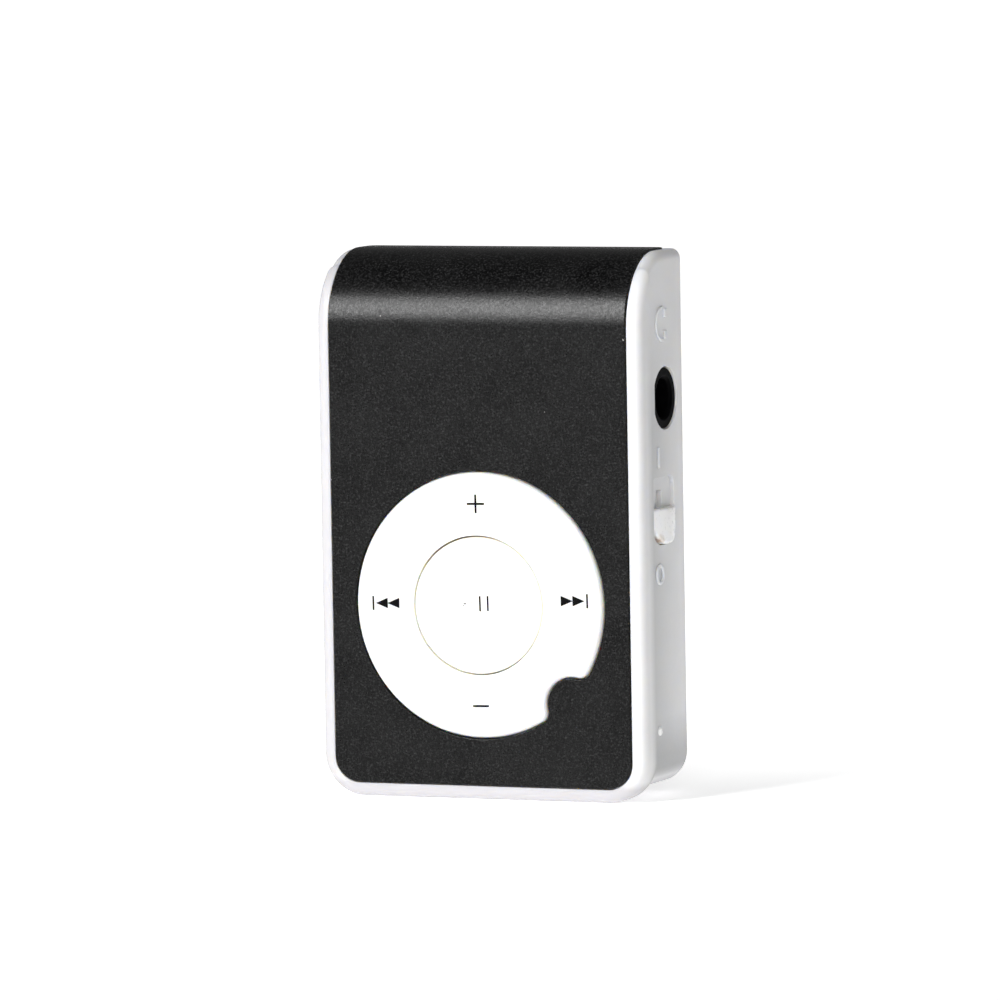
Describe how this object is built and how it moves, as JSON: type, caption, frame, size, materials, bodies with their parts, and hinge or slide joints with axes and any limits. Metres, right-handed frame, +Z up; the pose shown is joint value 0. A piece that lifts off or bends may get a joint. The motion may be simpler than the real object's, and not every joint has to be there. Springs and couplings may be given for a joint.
{
  "type": "digital audio player",
  "caption": "Small clip-on audio player without a screen: bent black plate, white case, round control ring with play button, side switch, headphone jack and back clip.",
  "frame": {"origin": "centre of the whole player's footprint at its lowest edge, standing upright", "axes": "+Z up along the player's height, -Y out of the front with the control ring, +X to the right seen from the front, towards the jack and switch"},
  "size_m": [0.0322, 0.0152, 0.0498],
  "materials": {
    "black_anodised": "bead-blasted, black anodised, satin",
    "white_plastic": "moulded white, semi-gloss",
    "button_white": "moulded white, gloss",
    "adhesive_tape": "thin acrylic foam",
    "clear_film": "clear polyester film",
    "circuit_board": "green solder mask",
    "chip_black": "moulded epoxy",
    "ceramic_parts": "fired ceramic",
    "black_plastic": "moulded black, satin",
    "contact_brass": "gold plated",
    "tinned_steel": "tinned, dull",
    "zinc_steel": "zinc plated",
    "spring_steel": "bright stainless",
    "light_pipe": "clear moulding",
    "battery_foil": "pouch foil",
    "wire_red": "soft PVC",
    "wire_black": "soft PVC"
  },
  "bodies": {
    "housing": {"face_plate": "black_anodised", "plate_tape": "adhesive_tape", "front_frame": "white_plastic", "rear_shell": "white_plastic", "pivot_posts": "spring_steel", "dome_play": "spring_steel", "dome_plus": "spring_steel", "dome_minus": "spring_steel", "dome_prev": "spring_steel", "dome_next": "spring_steel", "dome_sheet": "clear_film", "main_board": "circuit_board", "board_screws": "zinc_steel", "decoder_chip": "chip_black", "amplifier_chip": "chip_black", "crystal": "tinned_steel", "small_board_parts": "ceramic_parts", "jack_body": "black_plastic", "jack_contacts": "contact_brass", "card_socket_base": "black_plastic", "card_contacts": "contact_brass", "card_socket_cover": "tinned_steel", "usb_shell": "tinned_steel", "usb_tongue": "black_plastic", "usb_contacts": "contact_brass", "switch_can": "tinned_steel", "led": "ceramic_parts", "light_pipe": "light_pipe", "battery_cell": "battery_foil", "battery_tape": "adhesive_tape", "battery_lead_red": "wire_red", "battery_lead_black": "wire_black", "clip_pin": "tinned_steel", "clip_spring": "spring_steel"},
    "gimbal": {"gimbal_washer": "spring_steel"},
    "control_ring": {"control_ring": "button_white"},
    "play_button": {"play_button": "button_white"},
    "power_switch": {"switch_knob": "button_white", "switch_slider": "button_white"},
    "clip": {"clip_plate": "white_plastic"}
  },
  "joints": [
    {"name": "volume_tilt", "type": "hinge", "parent": "housing", "child": "gimbal", "pos_m": [0, -0.00505, 0.0178], "axis": [1, 0, 0], "range_deg": [-1.2, 1.2], "stiffness_Nm_per_rad": 0.4, "deforming": ["dome_plus", "dome_minus"]},
    {"name": "track_tilt", "type": "hinge", "parent": "gimbal", "child": "control_ring", "pos_m": [0, -0.00505, 0.0178], "axis": [0, 0, 1], "range_deg": [-1.2, 1.2], "stiffness_Nm_per_rad": 0.4, "deforming": ["dome_prev", "dome_next"]},
    {"name": "play_press", "type": "slide", "parent": "housing", "child": "play_button", "axis": [0, 1, 0], "range_m": [0, 0.0003], "stiffness_N_per_m": 3000, "deforming": ["dome_play"]},
    {"name": "power_slide", "type": "slide", "parent": "housing", "child": "power_switch", "axis": [0, 0, 1], "range_m": [0, 0.0024]},
    {"name": "clip_open", "type": "hinge", "parent": "housing", "child": "clip", "pos_m": [0, 0.0052, 0.0395], "axis": [1, 0, 0], "range_deg": [0, 15], "stiffness_Nm_per_rad": 0.15, "springref_deg": -17.19, "deforming": ["clip_spring"]}
  ]
}
